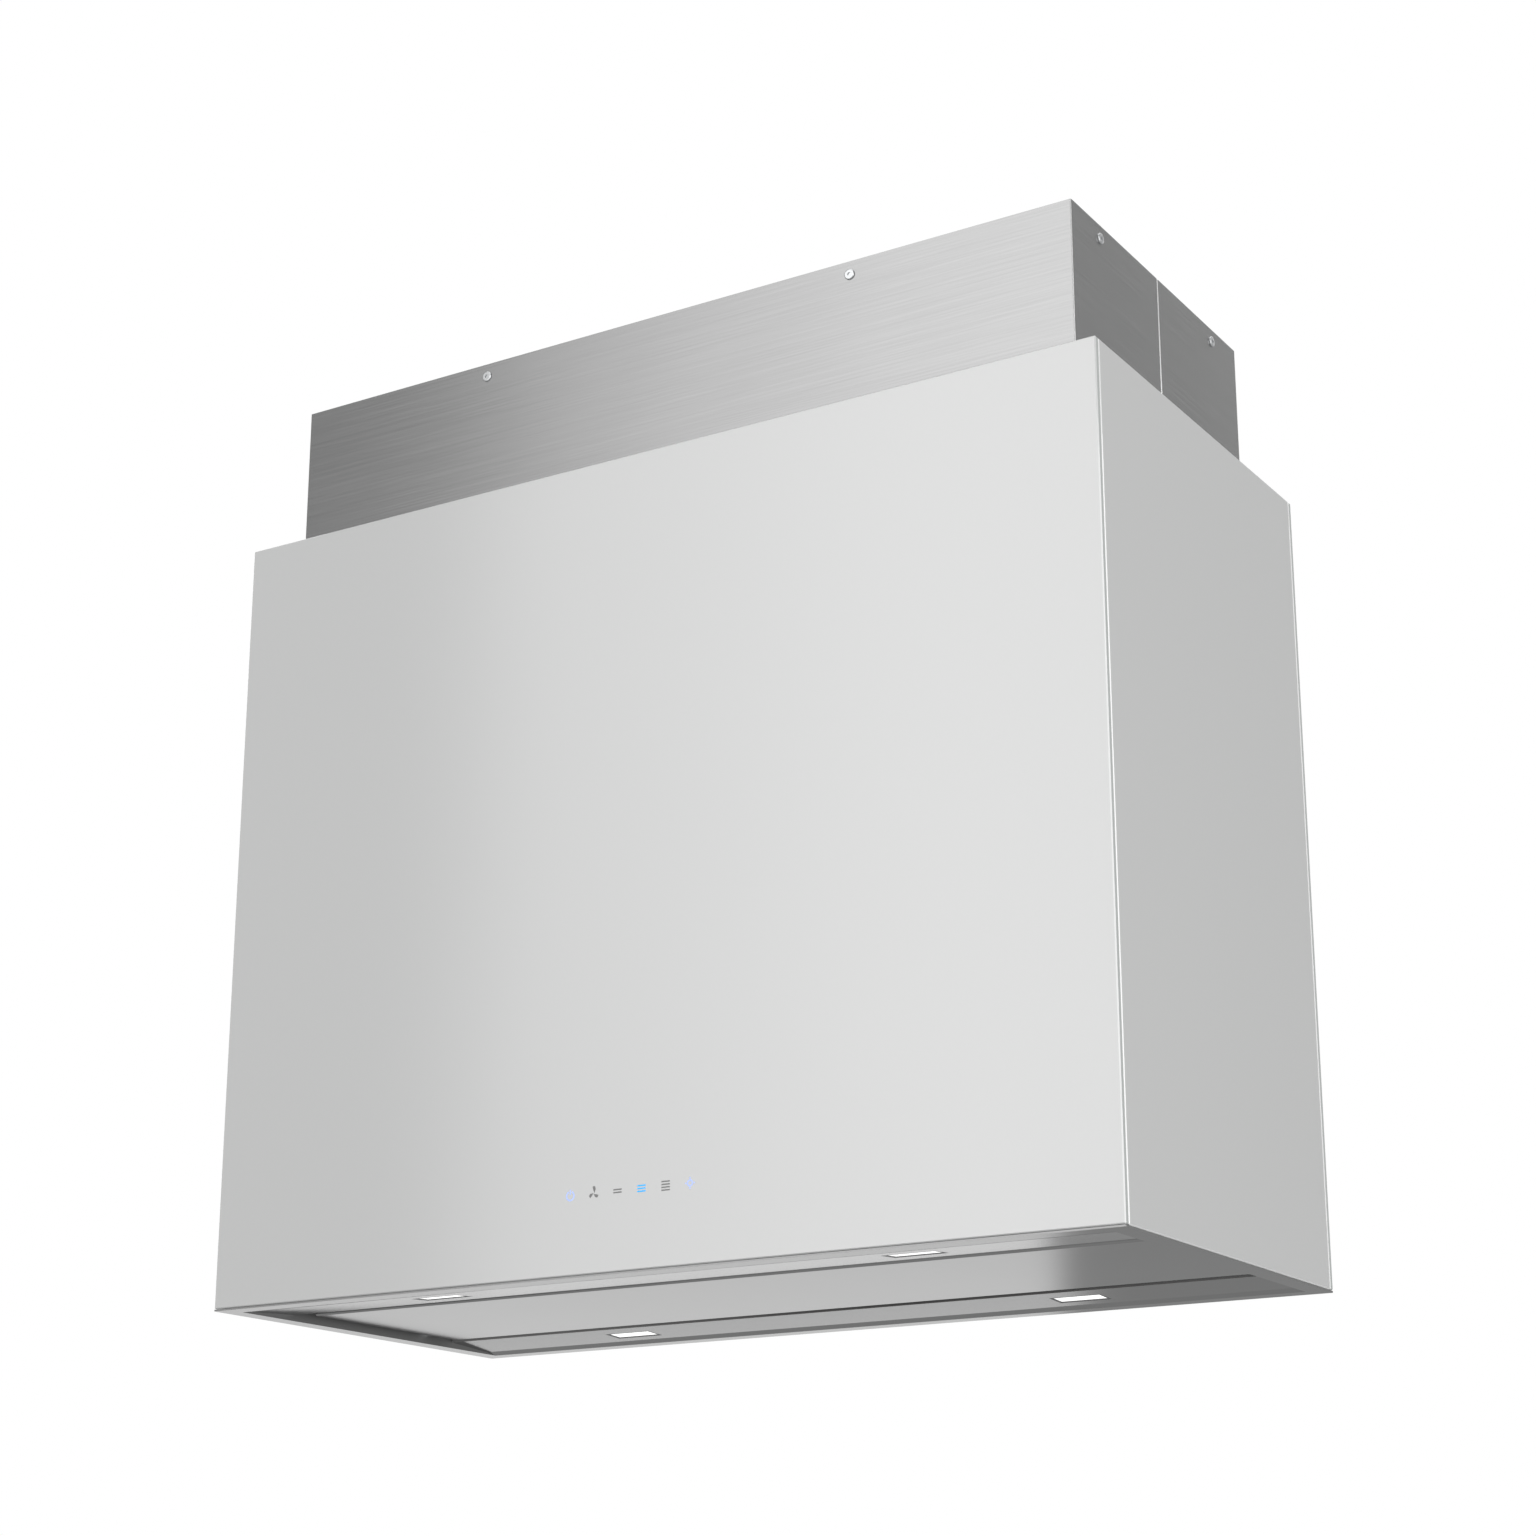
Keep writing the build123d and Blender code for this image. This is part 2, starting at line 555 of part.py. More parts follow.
def filter_frame():
    """Channel frame of the right filter, with a recessed grip and the latch's guide at its front."""
    cx = filter_centre_x()
    x = (cx - FILTER_W / 2, cx + FILTER_W / 2)
    y = (FILTER_FRONT, FILTER_REAR)
    z = (FILTER_BOTTOM, FILTER_BOTTOM + FILTER_H)
    wall = 1.0
    notch = LATCH_HALF_W + 0.5
    frame = block(x, y, z)
    frame = fillet(frame.edges().filter_by(Axis.Z), 3.0)
    frame -= block(shrunk(x, FILTER_BORDER), shrunk(y, FILTER_BORDER), z)
    frame -= block(shrunk(x, wall), shrunk(y, wall), shrunk(z, wall))
    frame -= block((cx - notch, cx + notch), (y[0] - 1, y[0] + FILTER_BORDER + 1), (z[0] - 1, z[1] - 2))
    return frame


def filter_mesh():
    """Layered aluminium mesh pack of the right filter."""
    cx = filter_centre_x()
    x = (cx - FILTER_W / 2, cx + FILTER_W / 2)
    y = (FILTER_FRONT, FILTER_REAR)
    z = (FILTER_BOTTOM, FILTER_BOTTOM + FILTER_H)
    pack = block(shrunk(x, 3.0), shrunk(y, 3.0), shrunk(z, 1.2))
    pocket = block((cx - 34, cx + 34), (FILTER_FRONT, FILTER_FRONT + 36), z)
    return pack - pocket


def filter_latch():
    """Sliding latch of the right filter: a grip under the frame and a tongue over the front rail."""
    cx = filter_centre_x()
    x = (cx - LATCH_HALF_W, cx + LATCH_HALF_W)
    z = (FILTER_BOTTOM + 0.2, FILTER_BOTTOM + FILTER_H - 2.3)
    grip_y = (FILTER_FRONT + 18, FILTER_FRONT + 26)
    slide = block(x, (FILTER_FRONT - LATCH_TRAVEL + 0.5, grip_y[1]), z)
    latch = slide + block(x, grip_y, (FILTER_BOTTOM - 5, z[1]))
    return fillet(latch.edges().filter_by(Axis.X).group_by(Axis.Z)[0], 0.8)


# ---------------------------------------------------------------- fan deck, blower and outlet
def fan_deck():
    """Sheet floor that closes the casing above the blower, with a square hole over the scroll's outlet."""
    half_w = CASING_HALF_W - CASING_T - 0.2
    half_d = CASING_HALF_D - CASING_T - 0.2
    deck = block(around(half_w), around(half_d), (DECK_TOP - DECK_LIP, DECK_TOP))
    deck -= block(around(half_w - DECK_T), around(half_d - DECK_T), (DECK_TOP - DECK_LIP, DECK_UNDER))
    return deck - block(around(DECK_HOLE_HALF), around(DECK_HOLE_HALF), (DECK_UNDER, DECK_TOP))


def scroll_outline(extra):
    """The scroll's side view about the fan axis, grown outwards by extra.

    Three tangent quarter arcs widen from the tongue round to the straight outer wall of the outlet."""
    step = SCROLL_STEP
    radii = [SCROLL_R + i * step + extra for i in range(3)]
    first = (-step / 2, -step / 2)
    second = (step / 2, -step / 2)
    third = (step / 2, step / 2)
    top = DECK_UNDER - AXIS_Z
    tongue_x = TONGUE_X - extra
    lean = math.degrees(math.acos((tongue_x - first[0]) / radii[0]))
    arcs = CenterArc(first, radii[0], lean, 180 - lean)
    arcs += CenterArc(second, radii[1], 180, 90)
    arcs += CenterArc(third, radii[2], 270, 90)
    tongue = (tongue_x, first[1] + radii[0] * math.sin(math.radians(lean)))
    end = (third[0] + radii[2], third[1])
    neck = Polyline(end, (end[0], top), (tongue_x, top), tongue)
    return make_face(arcs + neck)


def scroll_plane(y):
    """A plane facing the front at this Y, with its own X and Y along the hood's X and Z."""
    return Plane(origin=(FAN_X, y, AXIS_Z), x_dir=(1, 0, 0), z_dir=(0, -1, 0))


def scroll_wrapper():
    """Curved strip of the scroll with the flange that is screwed under the deck."""
    outer = extrude(scroll_plane(SCROLL_HALF) * scroll_outline(SCROLL_T), 2 * SCROLL_HALF)
    inner = extrude(scroll_plane(SCROLL_HALF) * scroll_outline(0), 2 * SCROLL_HALF)
    strip = outer - inner
    neck_half = (NECK_OUTER - TONGUE_X) / 2
    flange = block(around(neck_half + 16), around(SCROLL_HALF + 14), (DECK_UNDER - 1.5, DECK_UNDER))
    opening = (around(neck_half + SCROLL_T), around(SCROLL_HALF + SCROLL_T))
    flange -= block(*opening, (DECK_UNDER - 1.5, DECK_UNDER))
    return strip + flange


def scroll_side():
    """Rear cheek of the scroll with its round inlet."""
    cheek = extrude(scroll_plane(SCROLL_HALF + SCROLL_T) * scroll_outline(SCROLL_T), SCROLL_T)
    return cheek - rod(INLET_R, (FAN_X, SCROLL_HALF - 1, AXIS_Z), 4, "Y")


def inlet_rings():
    """Flared rings that guide the air into the two inlets."""
    start = SCROLL_HALF + SCROLL_T
    profile = Polyline((INLET_R - 6, start - 5), (INLET_R - 4.8, start - 5), (INLET_R - 1.2, start + 3.8))
    profile += Polyline((INLET_R - 1.2, start + 3.8), (INLET_R + 10, start + 3.8), (INLET_R + 10, start + 5))
    profile += Polyline((INLET_R + 10, start + 5), (INLET_R - 2.2, start + 5), (INLET_R - 6, start - 5))
    ring = revolve(Plane.XY * make_face(profile), Axis.Y)
    leg = block(around(4), (start, start + 3.9), (INLET_R + 2, INLET_R + 9))
    for angle in (0, 90, 180, 270):
        ring += Rot(0, angle, 0) * leg
    placed = Pos(FAN_X, 0, AXIS_Z) * ring
    return group([placed, mirrored(placed)])


def motor():
    """Motor in the rear half of the impeller: a ribbed can with end bosses and a bore for the shaft."""
    can = fillet(rod(MOTOR_R, (0, 16, 0), 62, "Y").edges(), 4)
    for index in range(12):
        rib = block((MOTOR_R - 1, MOTOR_R + 2), (26, 68), around(1.0))
        can += Rot(0, index * 30, 0) * rib
    boss = rod(14, (0, 12, 0), 70, "Y")
    return Pos(FAN_X, 0, AXIS_Z) * (can + boss - rod(SHAFT_BORE_R, (0, 11, 0), 60, "Y"))


def motor_spider():
    """Three-armed bracket that carries the motor from the rear inlet."""
    y0 = 82.0
    seat = SCROLL_HALF + SCROLL_T
    bend = INLET_R + 16
    plate = pipe(34, 6, (0, y0, 0), SPIDER_T, "Y")
    for angle in (90, 210, 330):
        arm = block((30, bend), (y0, y0 + SPIDER_T), around(8))
        leg = block((bend - SPIDER_T, bend), (seat, y0), around(8))
        foot = block((bend - SPIDER_T, bend + 10), (seat, seat + SPIDER_T), around(8))
        plate += Rot(0, angle, 0) * (arm + leg + foot)
    return Pos(FAN_X, 0, AXIS_Z) * plate


def impeller():
    """Double-inlet drum of forward-curved blades on a centre disc, with a ring at each end."""
    half = IMPELLER_L / 2
    inner = IMPELLER_R - BLADE_DEPTH
    wheel = rod(IMPELLER_R - 0.5, (0, -1, 0), 2, "Y")
    for y in (-half, half - 2.5):
        wheel += pipe(IMPELLER_R, inner + 3, (0, y, 0), 2.5, "Y")
    bend_r = 14.0
    middle = (IMPELLER_R + inner) / 2
    sector = pipe(bend_r, bend_r - BLADE_T, (middle, -half, -bend_r + 4), IMPELLER_L, "Y")
    sector &= pipe(IMPELLER_R - 0.4, inner, (0, -half, 0), IMPELLER_L, "Y")
    sector &= block((inner - 5, IMPELLER_R + 5), around(half), (-4, 20))
    for index in range(BLADES):
        wheel += Rot(0, index * 360 / BLADES, 0) * sector
    wheel += rod(16, (0, -12, 0), 22, "Y")
    wheel -= rod(SHAFT_R, (0, -12, 0), 22, "Y")
    return Pos(FAN_X, 0, AXIS_Z) * wheel


def fan_shaft():
    """Shaft pressed into the impeller's hub; it runs in the motor."""
    return chamfer(rod(SHAFT_R, (FAN_X, -16, AXIS_Z), 80, "Y").edges(), 0.6)


def run_capacitor():
    """Motor capacitor on the front cheek of the scroll, in its saddle."""
    y = -SCROLL_HALF - SCROLL_T
    z = AXIS_Z + 128
    can = fillet(rod(15, (-38, y - 16, z), 62, "X").edges(), 2)
    saddle = block((-22, 8), (y - 20, y), (z - 20, z - 13)) + block((-22, 8), (y - 3, y), (z - 20, z + 20))
    return can + saddle


def outlet_collar():
    """Duct collar with a square flange, an inner ledge that the flaps rest on and holes for their pin."""
    flange = block(around(COLLAR_R + 12), around(COLLAR_R + 12), (DECK_TOP, DECK_TOP + COLLAR_T))
    flange = fillet(flange.edges().filter_by(Axis.Z), 8)
    flange -= rod(COLLAR_R - 8, (0, 0, DECK_TOP), COLLAR_T)
    for x in around(COLLAR_R + 3):
        for y in around(COLLAR_R + 3):
            flange += Pos(x, y, DECK_TOP + COLLAR_T) * screw(3.6, 2.0, 1.0, 0.5, 1.2)
    tube = pipe(COLLAR_R, COLLAR_R - COLLAR_T, (0, 0, DECK_TOP), COLLAR_H)
    ledge_top = FLAP_Z - FLAP_T / 2 - 0.3
    ledge = pipe(COLLAR_R - COLLAR_T, COLLAR_R - 6, (0, 0, ledge_top - 1.5), 1.5)
    collar = flange + tube + ledge
    return collar - rod(FLAP_PIN_R, (0, -COLLAR_R, FLAP_Z), 2 * COLLAR_R, "Y")


def damper_pin():
    """Pin across the collar that both flaps turn on."""
    return rod(FLAP_PIN_R, (0, -COLLAR_R, FLAP_Z), 2 * COLLAR_R, "Y")


def damper_flap(knuckle_offset):
    """Half-round flap on the +X side of the pin, with two knuckles that turn on it."""
    plate = rod(FLAP_R, (0, 0, FLAP_Z - FLAP_T / 2), FLAP_T)
    plate &= block((3.8, FLAP_R), around(FLAP_R), (FLAP_Z - 1, FLAP_Z + 1))
    plate &= block((0, FLAP_R + 1), around(FLAP_R - 4), (FLAP_Z - 1, FLAP_Z + 1))
    for centre in (-45.0, 25.0):
        y = centre + knuckle_offset - 6
        knuckle = rod(3.3, (0, y, FLAP_Z), 12, "Y")
        web = block((0, 4.5), (y, y + 12), (FLAP_Z - FLAP_T / 2, FLAP_Z + FLAP_T / 2))
        plate += knuckle + web
    return plate - rod(FLAP_PIN_R + 0.08, (0, -COLLAR_R, FLAP_Z), 2 * COLLAR_R, "Y")


# ---------------------------------------------------------------- electrics
def control_box():
    """Open sheet metal box on the deck that holds the terminals."""
    y = around(BOX_HALF_D)
    z = (DECK_TOP, DECK_TOP + BOX_H)
    box = block(BOX_X, y, z)
    box -= block(shrunk(BOX_X, BOX_T), shrunk(y, BOX_T), (z[0] + BOX_T, z[1]))
    return box - rod(GLAND_THREAD_R + 0.2, (BOX_X[0] - 1, 0, z[0] + GLAND_RISE), 4, "X")


def control_box_cover():
    """Lid with a short skirt that slips over the control box."""
    x = shrunk(BOX_X, -0.4)
    y = around(BOX_HALF_D + 0.4)
    z = DECK_TOP + BOX_H
    cover = block(shrunk(x, -1), shrunk(y, -1), (z - 5, z + 1))
    return cover - block(x, y, (z - 5, z))


def terminal_block():
    """Five-way terminal strip inside the control box."""
    base = DECK_TOP + BOX_T
    strip = block((300, 360), around(11), (base, base + 16))
    for index in range(5):
        strip -= rod(2.6, (306 + index * 12, 0, base + 8), 8.5)
    return strip


def mains_gland():
    """Cable gland on the box: thread, nut and clamping cap with a hole for the supply cable."""
    x = BOX_X[0]
    z = DECK_TOP + GLAND_RISE
    nut = Pos(x - 5, 0, z) * Rot(0, 90, 0) * extrude(RegularPolygon(13, 6), 5)
    cap = fillet(rod(11, (x - 19, 0, z), 14, "X").edges().sort_by(Axis.X)[0], 3)
    thread = rod(GLAND_THREAD_R, (x - 5, 0, z), 14, "X")
    return nut + cap + thread - rod(GLAND_BORE_R, (x - 20, 0, z), 30, "X")


def led_driver():
    """Potted lamp driver on the deck."""
    z = (DECK_TOP, DECK_TOP + 26)
    case = block((-390, -270), around(24), z)
    return chamfer(case.edges().group_by(Axis.Z)[-1], 2) + block((-400, -380), around(10), (z[0], z[0] + 3))


def touch_board():
    """Touch control board behind the front glass, in its thin cover on the inside of the casing."""
    centre = SHELL_BOTTOM + ICON_RISE
    inner_face = -SHELL_D / 2 + GLASS_T
    casing_face = -CASING_HALF_D + CASING_T
    board = block(around(82), (inner_face + 0.1, inner_face + 1.7), (centre - 18, centre + 18))
    cover = block(around(90), (casing_face, casing_face + 8), (centre - 26, centre + 26))
    sensor = block(around(6), (inner_face + 1.7, inner_face + 3.2), (centre - 6, centre + 6))
    for offset in ICON_XS:
        board += Pos(offset, 0, 0) * sensor
    return board + cover


# ---------------------------------------------------------------- the nodes
def nodes():
    """Every node's name and its shape."""
    right_upper = upper_leg_pair()
    right_lower = lower_leg_pair()
    rear_rail = deck_rail()
    rear_glass_panel = rear_glass()
    right_glass_panel = right_glass()
    rear_strip = lamp_strip()
    rear_filter_rail = filter_rail()
    rear_cheek = scroll_side()
    right_frame = filter_frame()
    right_mesh = filter_mesh()
    right_latch = filter_latch()
    return {
        "ceiling_plate": ceiling_plate(),
        "upper_legs_right": right_upper,
        "upper_legs_left": swapped(right_upper),
        "upper_leg_screws": foot_screws(),
        "chimney_front_half": chimney_half(front=True),
        "chimney_rear_half": chimney_half(front=False),
        "chimney_screws": chimney_screws(),
        "lower_legs_right": right_lower,
        "lower_legs_left": swapped(right_lower),
        "leg_clamp_bolts": leg_clamp_bolts(),
        "deck_rail_rear": rear_rail,
        "deck_rail_front": mirrored(rear_rail),
        "rail_screws": rail_screws(),
        "fan_deck": fan_deck(),
        "casing_front_half": casing_half(front=True),
        "casing_rear_half": casing_half(front=False),
        "rear_glass": rear_glass_panel,
        "front_glass": mirrored(rear_glass_panel),
        "right_glass": right_glass_panel,
        "left_glass": swapped(right_glass_panel),
        "glass_bonding_tapes": glass_bonding_tapes(),
        "top_closing_frame": top_closing_frame(),
        "bottom_rim": bottom_rim(),
        "lamp_strip_rear": rear_strip,
        "lamp_strip_front": mirrored(rear_strip),
        "lamp_bezels": lamp_bezels(),
        "lamp_lenses": lamp_lenses(),
        "hinge_bushings": hinge_bushings(),
        "catch_magnets": catch_magnets(),
        "suction_panel": suction_panel(),
        "panel_backing": panel_backing(),
        "panel_hinge_pins": panel_hinge_pins(),
        "filter_rail_rear": rear_filter_rail,
        "filter_rail_front": mirrored(rear_filter_rail),
        "filter_frame_right": right_frame,
        "filter_frame_left": swapped(right_frame),
        "filter_mesh_right": right_mesh,
        "filter_mesh_left": swapped(right_mesh),
        "filter_latch_right": right_latch,
        "filter_latch_left": swapped(right_latch),
        "scroll_wrapper": scroll_wrapper(),
        "scroll_side_rear": rear_cheek,
        "scroll_side_front": mirrored(rear_cheek),
        "inlet_rings": inlet_rings(),
        "fan_motor": motor(),
        "motor_spider": motor_spider(),
        "impeller": impeller(),
        "fan_shaft": fan_shaft(),
        "run_capacitor": run_capacitor(),
        "outlet_collar": outlet_collar(),
        "damper_pin": damper_pin(),
        "damper_flap_right": damper_flap(0.0),
        "damper_flap_left": swapped(damper_flap(14.0)),
        "control_box": control_box(),
        "control_box_cover": control_box_cover(),
        "terminal_block": terminal_block(),
        "mains_gland": mains_gland(),
        "led_driver": led_driver(),
        "touch_board": touch_board(),
    }


os.makedirs("parts", exist_ok=True)
for name, shape in nodes().items():
    export_step(shape, f"parts/{name}.step")
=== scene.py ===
import json
import math

import bmesh
import bpy
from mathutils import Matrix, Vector


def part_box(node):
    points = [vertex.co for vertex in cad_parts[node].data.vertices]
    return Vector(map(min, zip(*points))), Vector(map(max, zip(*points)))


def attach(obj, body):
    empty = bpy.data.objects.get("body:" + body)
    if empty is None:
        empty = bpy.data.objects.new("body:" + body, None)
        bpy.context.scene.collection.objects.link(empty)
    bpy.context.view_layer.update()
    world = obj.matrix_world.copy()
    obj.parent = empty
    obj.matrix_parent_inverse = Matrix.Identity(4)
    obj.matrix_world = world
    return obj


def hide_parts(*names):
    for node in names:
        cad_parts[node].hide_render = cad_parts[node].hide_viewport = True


# Looks of the ceiling-hung island range hood. Metres, in the frame's own axes: the ceiling is Z = 0,
# the front faces -Y and the right is +X.

# ---------------------------------------------------------------- camera
CAMERA_PLACE = (1.403, -2.260, -1.248)
CAMERA_YAW = 31.71
CAMERA_PITCH = 16.87
LENS_MM = 70.66
SENSOR_MM = 36.0
SHIFT_UP = 0.035
CLIP_END = 100.0

# ---------------------------------------------------------------- studio
WORLD_SEEN = 1.0  # plain white behind the object
WORLD_LIGHT = 0.45
WORLD_TINT = (0.995, 1.0, 0.998)
SUN_WIDTH = 64.0  # degrees across the sky
# Strength, tilt from straight overhead and turn about Z, in degrees.
SUNS = {
    "sun_overhead": (1.0, 0, 0),
    "sun_rear": (1.0, -58, 20),
}
# Each card's two plan points, its low and high edge, and its rises: where along the card a rise starts
# and ends, and the glow it adds.
LOW_RISES = ((0.0, 0.6, 0.45),)
CARDS = {
    "card_front": ((-3.35, -4.0), (1.5, -4.0), (-0.6, 3.0), ((0.0, 0.55, 0.85), (0.45, 1.75, 0.55))),
    "card_rear": ((-1.87, 4.5), (-6.5, 4.5), (-2.3, 1.9), ((0.0, 0.1, 0.70),)),
    "card_right": ((4.0, -3.2), (4.4, 0.4), (-2.2, 1.6), ((0.0, 1.0, 1.75),)),
    "card_low_front": ((-3.5, -4.0), (3.8, -4.0), (-5.0, -1.5), LOW_RISES),
    "card_low_right": ((4.2, -3.9), (4.6, 1.0), (-5.0, -2.3), LOW_RISES),
}

# ---------------------------------------------------------------- white glass
GLASS_DARK = (0.600, 0.603, 0.601)
GLASS_LIGHT = (0.630, 0.633, 0.631)
GLASS_EDGE = (0.50, 0.52, 0.512)
# Chamfer tones, lighter than the face: painted highlights, near-white on the side glass.
FRONT_CHAMFER_HIGHLIGHT = (0.660, 0.668, 0.664)
SIDE_CHAMFER_HIGHLIGHT = (0.950, 0.955, 0.952)
GLASS_GLOSS = (0.09, 0.13)
GLASS_IOR = 1.72
X_AXIS, Y_AXIS, Z_AXIS = 0, 1, 2
# A surface direction's part along the sheet's thickness: an edge has less than the first, a face more
# than the second, and a chamfer lies between.
EDGE_FACING = 0.5
FACE_FACING = 0.9

# ---------------------------------------------------------------- brushed steel
STEEL_DARK = (0.30, 0.30, 0.30)
STEEL_LIGHT = (0.44, 0.44, 0.44)
LINE_SHARE = 0.8  # of the tone that comes from the brush lines
BRUSH_SPREAD = 0.55  # anisotropy
EVEN = (1, 1, 1)
SHEATH_BRUSH = (9.0, 9.0, 900.0)
SHEATH_GLOSS = (0.13, 0.20)
SHEATH_GRAZING = 1.0
SEAM_FACING = 0.4
# Near-white tone of the seam's chamfers: a painted highlight.
SEAM_HIGHLIGHT_TONE = 0.95
SEAM_ROUGHER = 0.1
FLAT_BRUSH = (7.0, 1900.0, 1900.0)
UNDERSIDE_GLOSS = (0.10, 0.17)
FLAT_GRAZING = 0.68
UNDERSIDE_EDGES = (0.42, 0.30)  # tone and added roughness
# Dark tone of the suction panel's upright faces: a painted shade.
PANEL_EDGE_SHADE = (0.18, 0.0)

# ---------------------------------------------------------------- other materials
# Dark tone, light tone, least and most roughness, grain.
METALS = {
    "zinc_fastener": ((0.55, 0.56, 0.57), (0.74, 0.75, 0.76), 0.18, 0.32, 700.0),
    "mesh_aluminium": ((0.58, 0.59, 0.60), (0.80, 0.81, 0.82), 0.26, 0.42, 500.0),
    "cast_aluminium": ((0.42, 0.43, 0.44), (0.56, 0.57, 0.58), 0.45, 0.62, 1100.0),
}
# Dark tone, light tone, least and most roughness.
PLASTICS = {
    "dark_bezel": ((0.07, 0.07, 0.075), (0.10, 0.10, 0.105), 0.4, 0.55),
    "black_plastic": ((0.02, 0.02, 0.022), (0.035, 0.035, 0.038), 0.35, 0.5),
    "grey_plastic": ((0.11, 0.115, 0.12), (0.15, 0.155, 0.16), 0.42, 0.58),
}
ZINC_DARK = (0.44, 0.46, 0.47)
ZINC_LIGHT = (0.62, 0.64, 0.65)
SPANGLE_SHARE = 0.6  # of the zinc's tone that comes from its crystals
LENS_DARK = (0.92, 0.92, 0.90)
LENS_LIGHT = (1.0, 1.0, 0.99)
LENS_GLOW = 0.9
FOAM_DARK = (0.05, 0.05, 0.055)
FOAM_LIGHT = (0.12, 0.12, 0.125)
BOARD_DARK = (0.012, 0.085, 0.045)
BOARD_LIGHT = (0.016, 0.11, 0.058)
BOARD_TRACK = (0.05, 0.22, 0.12)

# ---------------------------------------------------------------- touch symbols
SYMBOL_XS = (-0.060, -0.036, -0.012, 0.012, 0.036, 0.060)
SYMBOL_RISE = 0.069  # above the rim's underside
SYMBOL_T = 0.00006
SYMBOL_PROUD = 0.00003
SYMBOL_DIMMER = 0.93  # darkest print grain
# Colour and glow.
GREY_LIGHT = ((0.24, 0.24, 0.24), 0.0)
PALE_LIGHT = ((0.38, 0.47, 0.80), 0.5)
CYAN_LIGHT = ((0.03, 0.36, 0.78), 0.6)
BAR_HALF_W = 0.0042
BAR_HALF_H = 0.0006
BAR_PITCH = 0.0024
POWER_R = 0.0045
POWER_LINE = 0.0015
POWER_START = 115.0  # degrees
POWER_SWEEP = 310.0
POWER_BAR_RISE = 0.0032
POWER_BAR_HALF_W = 0.0007
POWER_BAR_HALF_H = 0.0022
BLADES = ((90, 0.0062), (212, 0.0050), (328, 0.0050))  # direction in degrees, length
# Share of the blade's length, and distance to its side.
BLADE_SHAPE = ((0.0, -0.0005), (0.6, -0.0019), (1.0, -0.0012), (1.0, 0.0012), (0.6, 0.0008))
LIGHT_R = 0.0031
LIGHT_LINE = 0.0014
LIGHT_STEPS = 24
RING_GAP = 0.001  # radians left open, so that the ring's outline doesn't touch itself
RAY_REACH = 0.0042
RAY_HALF_L = 0.0007
RAY_HALF_W = 0.0006

# ---------------------------------------------------------------- filter mesh
MESH_PITCH_X = 0.0090
MESH_PITCH_Y = 0.0050
MESH_STRAND = 0.0007

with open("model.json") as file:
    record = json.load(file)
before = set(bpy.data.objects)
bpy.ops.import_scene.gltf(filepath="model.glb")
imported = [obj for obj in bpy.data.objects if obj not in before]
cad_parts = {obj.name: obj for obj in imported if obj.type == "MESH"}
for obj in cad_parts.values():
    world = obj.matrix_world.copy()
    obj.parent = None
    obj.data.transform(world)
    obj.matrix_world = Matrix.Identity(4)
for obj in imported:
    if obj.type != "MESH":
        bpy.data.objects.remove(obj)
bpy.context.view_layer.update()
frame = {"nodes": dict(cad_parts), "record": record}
NODES = frame["nodes"]


# ---------------------------------------------------------------- material building
class Recipe:
    """A node material whose nodes are added by short calls."""

    def __init__(self, name):
        self.material = bpy.data.materials.new(name)
        self.material.use_nodes = True
        self.tree = self.material.node_tree
        self.shader = self.tree.nodes["Principled BSDF"]

    def node(self, kind, settings=None, **inputs):
        made = self.tree.nodes.new(kind)
        for key, value in (settings or {}).items():
            setattr(made, key, value)
        for key, value in inputs.items():
            self.feed(made.inputs[key.replace("_", " ")], value)
        return made

    def feed(self, socket, value):
        """Links a node's output to the socket, or sets the socket's own value."""
        if isinstance(value, bpy.types.NodeSocket):
            self.tree.links.new(value, socket)
        else:
            socket.default_value = value

    def math(self, operation, first, second=0.0):
        made = self.node("ShaderNodeMath", {"operation": operation, "use_clamp": False})
        self.feed(made.inputs[0], first)
        self.feed(made.inputs[1], second)
        return made.outputs[0]

    def weigh(self, first, second, share):
        """A mean of two values, with the first's share."""
        remainder = self.math("MULTIPLY", second, 1 - share)
        return self.math("ADD", self.math("MULTIPLY", first, share), remainder)

    def place(self, scale):
        """Object coordinates stretched by a scale along each axis."""
        source = self.node("ShaderNodeTexCoord")
        mapping = self.node("ShaderNodeMapping", Scale=scale)
        self.feed(mapping.inputs["Vector"], source.outputs["Object"])
        return mapping.outputs["Vector"]

    def noise(self, scale, size, detail=4.0, roughness=0.55):
        made = self.node("ShaderNodeTexNoise", Scale=size, Detail=detail, Roughness=roughness)
        self.feed(made.inputs["Vector"], self.place(scale))
        return made.outputs["Fac"]

    def span(self, value, low, high):
        """A 0 to 1 value brought to the range low to high."""
        made = self.node("ShaderNodeMapRange")
        self.feed(made.inputs["Value"], value)
        made.inputs["To Min"].default_value = low
        made.inputs["To Max"].default_value = high
        return made.outputs["Result"]

    def between(self, factor, first, second):
        made = self.node("ShaderNodeMix", {"data_type": "RGBA"})
        self.feed(made.inputs["Factor"], factor)
        for index, colour in ((6, first), (7, second)):
            self.feed(made.inputs[index], colour)
        return made.outputs[2]

    def bump(self, height, distance, strength=1.0):
        made = self.node("ShaderNodeBump", Strength=strength, Distance=distance)
        self.feed(made.inputs["Height"], height)
        self.feed(self.shader.inputs["Normal"], made.outputs["Normal"])

    def set(self, **inputs):
        for key, value in inputs.items():
            self.feed(self.shader.inputs[key.replace("_", " ")], value)
        return self


def rgb(red, green, blue):
    return (red, green, blue, 1.0)


def facing_parts(recipe):
    """The size of the surface direction along the object's X, Y and Z."""
    split = recipe.node("ShaderNodeSeparateXYZ")
    recipe.feed(split.inputs[0], recipe.node("ShaderNodeTexCoord").outputs["Normal"])
    return [recipe.math("ABSOLUTE", split.outputs[axis]) for axis in (X_AXIS, Y_AXIS, Z_AXIS)]


